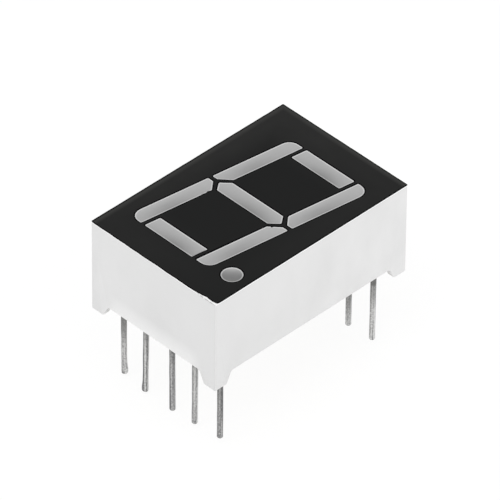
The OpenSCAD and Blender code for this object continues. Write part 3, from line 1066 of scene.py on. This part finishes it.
def bend(piece, axis, form, settings):
    """Gives a straight lead its own length, lean, swelling and uneven coat."""
    low, high = node_box("pin_1")
    radius = (high.x - low.x) / 2
    resin_z = node_box("rear_potting")[0].z
    stretch = 1.0 - form.longer * MM / low.z
    swell_side = math.copysign(1.0, form.swell)
    swell_height = 0.3 * MM
    swell_reach = 0.4 * MM
    lean_start = 1.8 * MM
    waves = Vector((1.0, 1.0, 0.35)) * 2.2 / MM
    for vert in piece.data.vertices:
        out = Vector((vert.co.x - axis.x, vert.co.y - axis.y, 0.0)) / radius
        thinning = 0.25 + noise.noise(vert.co * waves)
        vert.co -= out * settings.coat * max(0.0, thinning)
        if vert.co.z < 0.0:
            vert.co.z *= stretch
        above_tip = vert.co.z - low.z * stretch
        swollen = bell(above_tip, swell_height, swell_reach) * max(0.0, out.dot(ASIDE) * swell_side)
        vert.co += out * abs(form.swell) * MM * swollen
        down = min(max(vert.co.z / low.z, 0.0), 1.0)
        lean = form.root + (form.tip - form.root) * down
        vert.co += ASIDE * lean * MM * smooth_step(0.0, lean_start, resin_z - vert.co.z)


def leads(settings):
    """Ten copies of one straight lead, each bent into its own form."""
    look = drawn_tin(settings)
    model = first_lead(settings)
    first_low = node_box("pin_1")[0]
    for number, form in enumerate(LEAD_FORMS, 1):
        piece = add_object(f"lead_{number}", model.data.copy())
        low, high = node_box(f"pin_{number}")
        piece.data.transform(Matrix.Translation(low - first_low))
        bend(piece, (low + high) / 2, form, settings)
        mark_tin(piece, form)
        finish_piece(piece, look, "pin_tin", f"pin_{number}")
    bpy.data.objects.remove(model)


# Back resin


def back_resin(settings):
    """The back resin, which climbs the walls and the leads a little."""
    piece = merged_copy("rear_potting", "back_resin")
    underside = node_box("rear_potting")[0].z
    same_level = 0.1 * MM
    # From the walls and leads inwards: each step's share of the rim's width and of its height
    steps = ((0.18, 0.52), (0.3, 0.3), (0.52, 0.18))

    def on_underside(face):
        return face.normal.z < -0.9 and middle(face).z < underside + same_level

    with editing(piece, "FACE"):
        pick(piece, "faces", on_underside)
        for width, drop in steps:
            bpy.ops.mesh.inset(thickness=width * settings.reach, depth=-drop * settings.meniscus)
    finish_piece(piece, cast_resin(settings), "potting_resin", "rear_potting")


# Inside


def inside(settings):
    """Finishes for the board and all that it carries."""
    chips = [f"led_chip_{name}" for name in (*SEGMENTS, "dp")]
    wires = [f"bond_wire_{name}" for name in (*SEGMENTS, "dp")]
    joints = [f"solder_joint_{number}" for number in range(1, len(LEAD_FORMS) + 1)]
    copper = worked_metal("etched_copper", settings.copper, spot=0.3 * MM, smooth=0.2, rough=0.4)
    silver = worked_metal("silver_adhesive", settings.adhesive, spot=0.05 * MM, smooth=0.4, rough=0.6)
    gold = worked_metal("gold_wire", settings.gold, spot=0.05 * MM, smooth=0.1, rough=0.25)
    solder = worked_metal("solder", settings.solder, spot=0.2 * MM, smooth=0.2, rough=0.35)
    dress(["circuit_board"], glass_laminate(settings))
    dress(["copper_tracks"], copper)
    dress(["die_attach"], silver)
    dress(chips, crystal("chip_crystal", settings.chip))
    dress(wires, gold)
    dress(joints, solder)


# Stage


def camera_seen(recipe):
    """1 for the rays that show the background, straight on or in metal and glass."""
    rays = recipe.node("ShaderNodeLightPath", {}, {}).socket.node
    seen = [Wire(recipe, rays.outputs[f"Is {kind} Ray"]) for kind in ("Camera", "Glossy", "Transmission")]
    return (seen[0] + seen[1] + seen[2]).clamped()


def floor(settings):
    """A wide pale floor that is lifted to white for the camera and keeps the shadow."""
    bpy.ops.object.select_all(action="DESELECT")
    level = CAD_BOX[0][2] - settings.floor_drop
    bpy.ops.mesh.primitive_plane_add(size=settings.floor_size, location=(0.0, 0.0, level))
    plane = bpy.context.object
    plane.name = "floor"
    bpy.ops.object.transform_apply()
    pale, recipe = empty_material("pale_floor")
    just_over_white = 1.04
    matt = recipe.node("ShaderNodeBsdfDiffuse", {}, {"Color": opaque(settings.floor)})
    white = recipe.node("ShaderNodeEmission", {}, {"Color": WHITE, "Strength": just_over_white})
    lift = camera_seen(recipe) * settings.whiteness
    surface = recipe.node("ShaderNodeMixShader", {}, {0: lift, 1: matt, 2: white})
    recipe.end("ShaderNodeOutputMaterial", surface)
    plane.data.materials.append(pale)


def surroundings(settings):
    """Even light from all round, white for the camera."""
    world = bpy.data.worlds.new("studio")
    bpy.context.scene.world = world
    world.use_nodes = True
    recipe = Recipe(world.node_tree)
    strength = settings.ambient + (1.0 - settings.ambient) * camera_seen(recipe)
    sky = recipe.node("ShaderNodeBackground", {}, {"Color": WHITE, "Strength": strength})
    recipe.end("ShaderNodeOutputWorld", sky)


def turned(azimuth, elevation, roll=0.0):
    """The turn of a camera or lamp that looks back from the given direction."""
    return (
        Matrix.Rotation(azimuth, 3, "Z")
        @ Matrix.Rotation(math.pi / 2 - elevation, 3, "X")
        @ Matrix.Rotation(roll, 3, "Z")
    )


def lamp(settings, name, watts, azimuth, elevation):
    """A square lamp that shines on the origin from the given direction, in degrees."""
    data = bpy.data.lights.new(name, "AREA")
    data.energy = watts
    data.size = settings.lamp_size
    turn = turned(math.radians(azimuth), math.radians(elevation))
    place = turn.col[2] * settings.lamp_distance
    add_object(name, data).matrix_world = Matrix.LocRotScale(place, turn, None)


def camera(settings):
    """The camera, which looks at the face from the front right."""
    data = bpy.data.cameras.new("camera")
    data.sensor_width = 36.0
    data.lens = settings.lens
    data.clip_start = 0.01
    data.clip_end = 20.0
    turn = turned(settings.camera_azimuth, settings.camera_elevation, settings.camera_roll)
    face_middle = Vector((0.0, 0.0, CAD_BOX[1][2]))
    place = face_middle + turn.col[2] * settings.camera_distance - turn.col[1] * settings.camera_drop
    made = add_object("camera", data)
    made.matrix_world = Matrix.LocRotScale(place, turn, None)
    bpy.context.scene.camera = made


def stage(settings):
    bpy.context.scene.view_settings.view_transform = "Standard"
    floor(settings)
    surroundings(settings)
    lamp(settings, "key_lamp", settings.key_power, azimuth=20.0, elevation=62.0)
    lamp(settings, "fill_lamp", settings.fill_power, azimuth=95.0, elevation=35.0)
    lamp(settings, "low_lamp", settings.low_power, azimuth=45.0, elevation=8.0)
    camera(settings)


# Operators and panel


class DISPLAY_OT_stage(bpy.types.Operator):
    """Set up the floor, the light and the camera"""

    bl_idname = "display.stage"
    bl_label = "Stage"

    def execute(self, context):
        stage(context.scene.display_stage)
        return {"FINISHED"}


class DISPLAY_OT_housing(bpy.types.Operator):
    """Build the moulded housing with its rounded edges"""

    bl_idname = "display.housing"
    bl_label = "Housing"

    def execute(self, context):
        moulded_housing(context.scene.display_housing)
        return {"FINISHED"}


class DISPLAY_OT_film(bpy.types.Operator):
    """Build the black face film with its worn edges"""

    bl_idname = "display.film"
    bl_label = "Face film"

    def execute(self, context):
        face_film(context.scene.display_film)
        return {"FINISHED"}


class DISPLAY_OT_windows(bpy.types.Operator):
    """Build the seven segment windows and the decimal point"""

    bl_idname = "display.windows"
    bl_label = "Windows"

    def execute(self, context):
        windows(context.scene.display_windows)
        return {"FINISHED"}


class DISPLAY_OT_leads(bpy.types.Operator):
    """Build the ten tinned leads"""

    bl_idname = "display.leads"
    bl_label = "Leads"

    def execute(self, context):
        leads(context.scene.display_leads)
        return {"FINISHED"}


class DISPLAY_OT_resin(bpy.types.Operator):
    """Build the resin that seals the back"""

    bl_idname = "display.resin"
    bl_label = "Back resin"

    def execute(self, context):
        back_resin(context.scene.display_resin)
        return {"FINISHED"}


class DISPLAY_OT_inside(bpy.types.Operator):
    """Give the board, copper, chips, wires and solder their finishes"""

    bl_idname = "display.inside"
    bl_label = "Inside"

    def execute(self, context):
        inside(context.scene.display_inside)
        return {"FINISHED"}


OPERATORS = (
    DISPLAY_OT_stage,
    DISPLAY_OT_housing,
    DISPLAY_OT_film,
    DISPLAY_OT_windows,
    DISPLAY_OT_leads,
    DISPLAY_OT_resin,
    DISPLAY_OT_inside,
)
SETTINGS = {
    "display_stage": StageSettings,
    "display_housing": HousingSettings,
    "display_film": FilmSettings,
    "display_windows": WindowSettings,
    "display_leads": LeadSettings,
    "display_resin": ResinSettings,
    "display_inside": InsideSettings,
}


class DISPLAY_PT_pieces(bpy.types.Panel):
    """Lists the pieces of the display with their sizes and colours"""

    bl_idname = "DISPLAY_PT_pieces"
    bl_label = "Seven Segment Display"
    bl_space_type = "VIEW_3D"
    bl_region_type = "UI"
    bl_category = "Display"

    def draw(self, context):
        for operator, (name, group) in zip(OPERATORS, SETTINGS.items()):
            box = self.layout.box()
            box.operator(operator.bl_idname)
            for setting in group.__annotations__:
                box.prop(getattr(context.scene, name), setting)


def register():
    for group in SETTINGS.values():
        bpy.utils.register_class(group)
    for operator in OPERATORS:
        bpy.utils.register_class(operator)
    bpy.utils.register_class(DISPLAY_PT_pieces)
    for name, group in SETTINGS.items():
        setattr(bpy.types.Scene, name, PointerProperty(type=group))


def unregister():
    for name in SETTINGS:
        delattr(bpy.types.Scene, name)
    bpy.utils.unregister_class(DISPLAY_PT_pieces)
    for operator in reversed(OPERATORS):
        bpy.utils.unregister_class(operator)
    for group in reversed(SETTINGS.values()):
        bpy.utils.unregister_class(group)


def main():
    register()
    bpy.ops.display.stage()
    bpy.ops.display.housing()
    bpy.ops.display.film()
    bpy.ops.display.windows()
    bpy.ops.display.leads()
    bpy.ops.display.resin()
    bpy.ops.display.inside()


if __name__ == "__main__":
    main()
